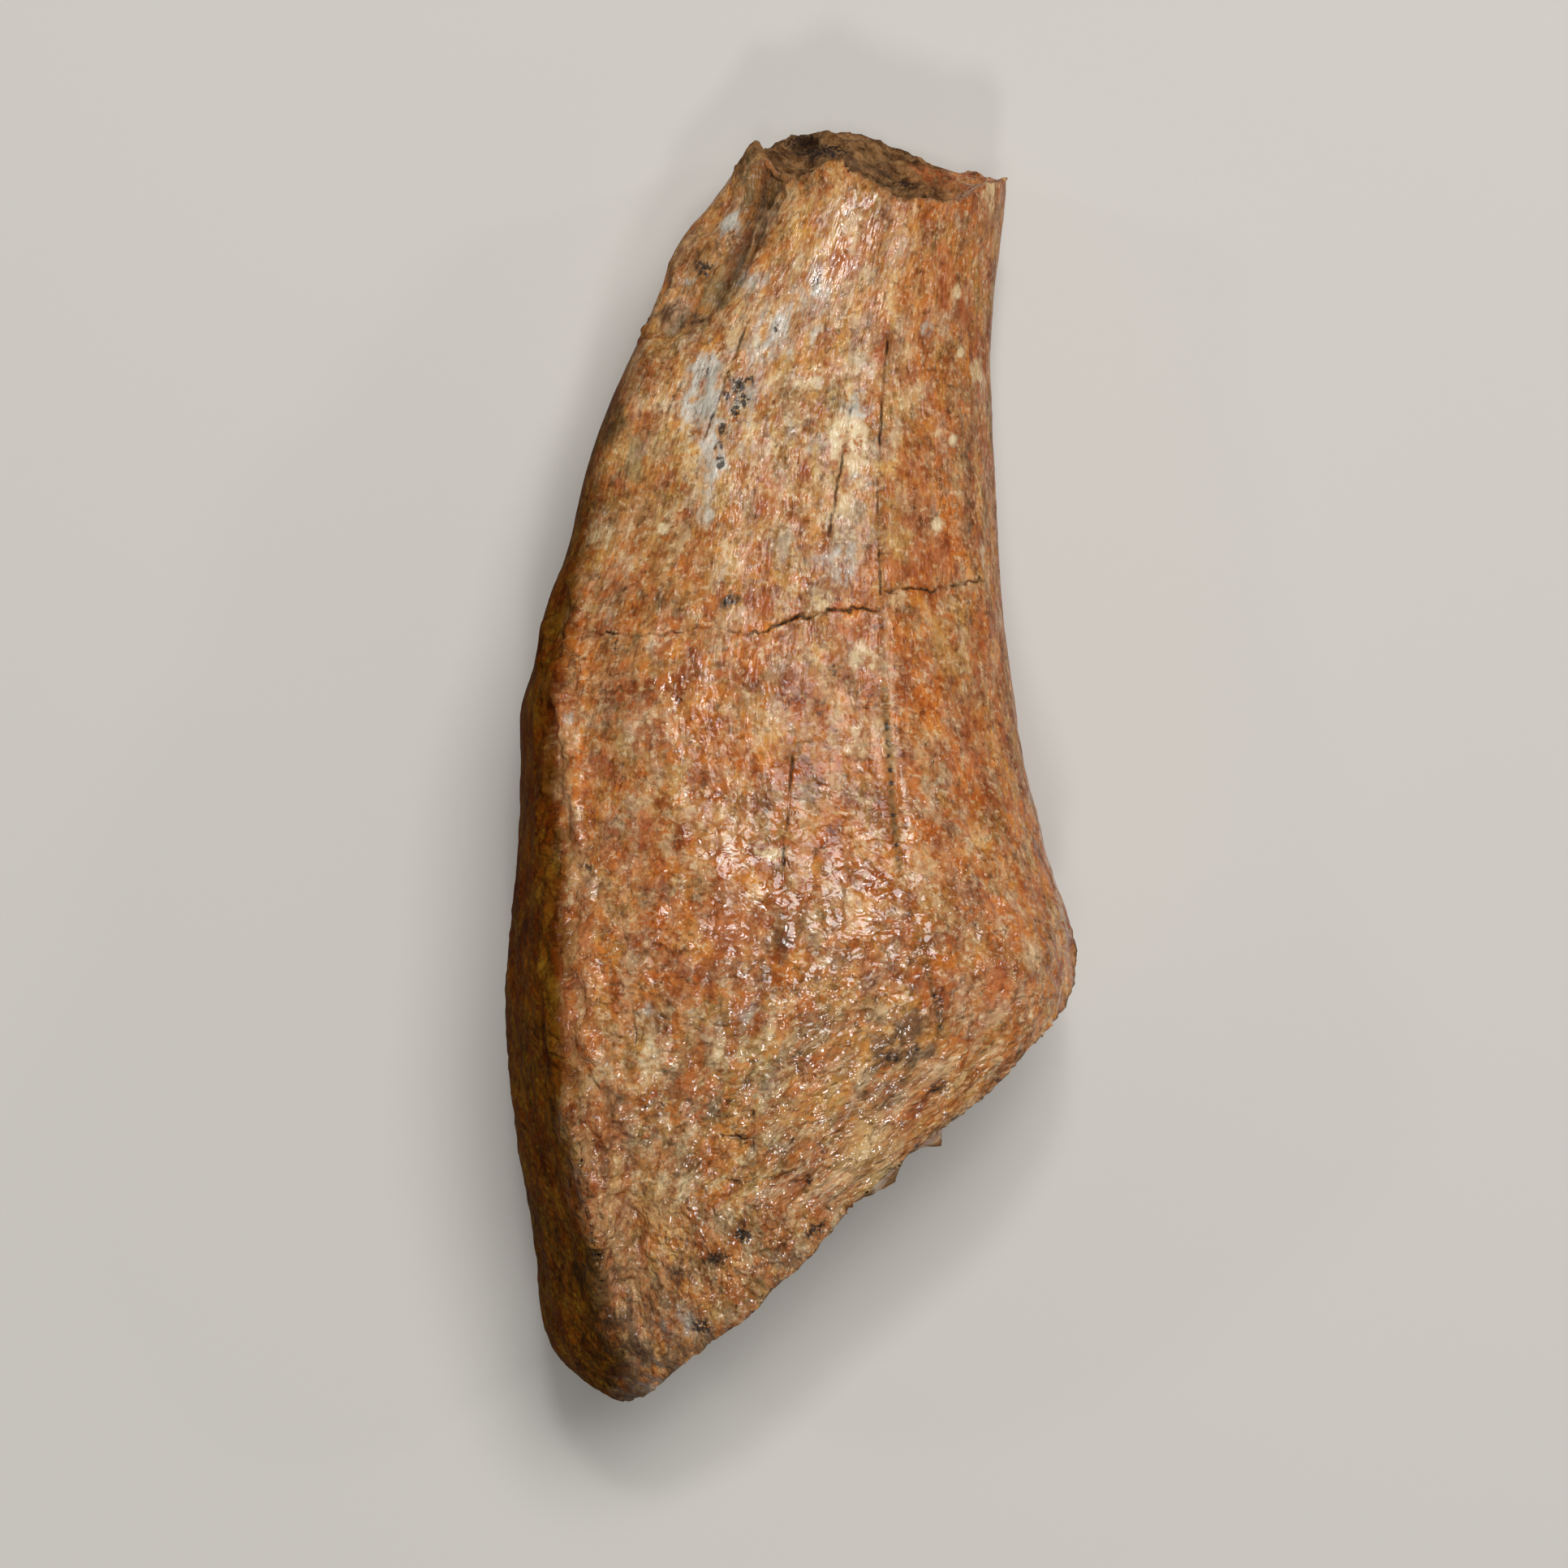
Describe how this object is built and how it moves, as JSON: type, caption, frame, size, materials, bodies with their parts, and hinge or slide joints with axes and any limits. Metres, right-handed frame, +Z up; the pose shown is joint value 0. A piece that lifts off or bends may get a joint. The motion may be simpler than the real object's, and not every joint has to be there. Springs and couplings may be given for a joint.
{
  "type": "fossil tyrannosaur tooth",
  "caption": "Worn fossil tooth of a large meat-eating dinosaur, snapped near the tip and broken on a slant at the base; a display and study specimen that lies on its flatter side.",
  "frame": {"origin": "on the flat that the tooth lies on, under the middle of its bounding box", "axes": "+Z up out of the rest flat, +Y along the tooth from the base to the snapped tip, +X to the right seen from above"},
  "size_m": [0.0288, 0.0658, 0.0205],
  "materials": {
    "fossil_surface": "mineralised dentine and enamel, orange-brown with rust, cream and blue-grey stains, under a clear glossy consolidant"
  },
  "bodies": {
    "root": {"tooth": "fossil_surface"}
  },
  "joints": []
}
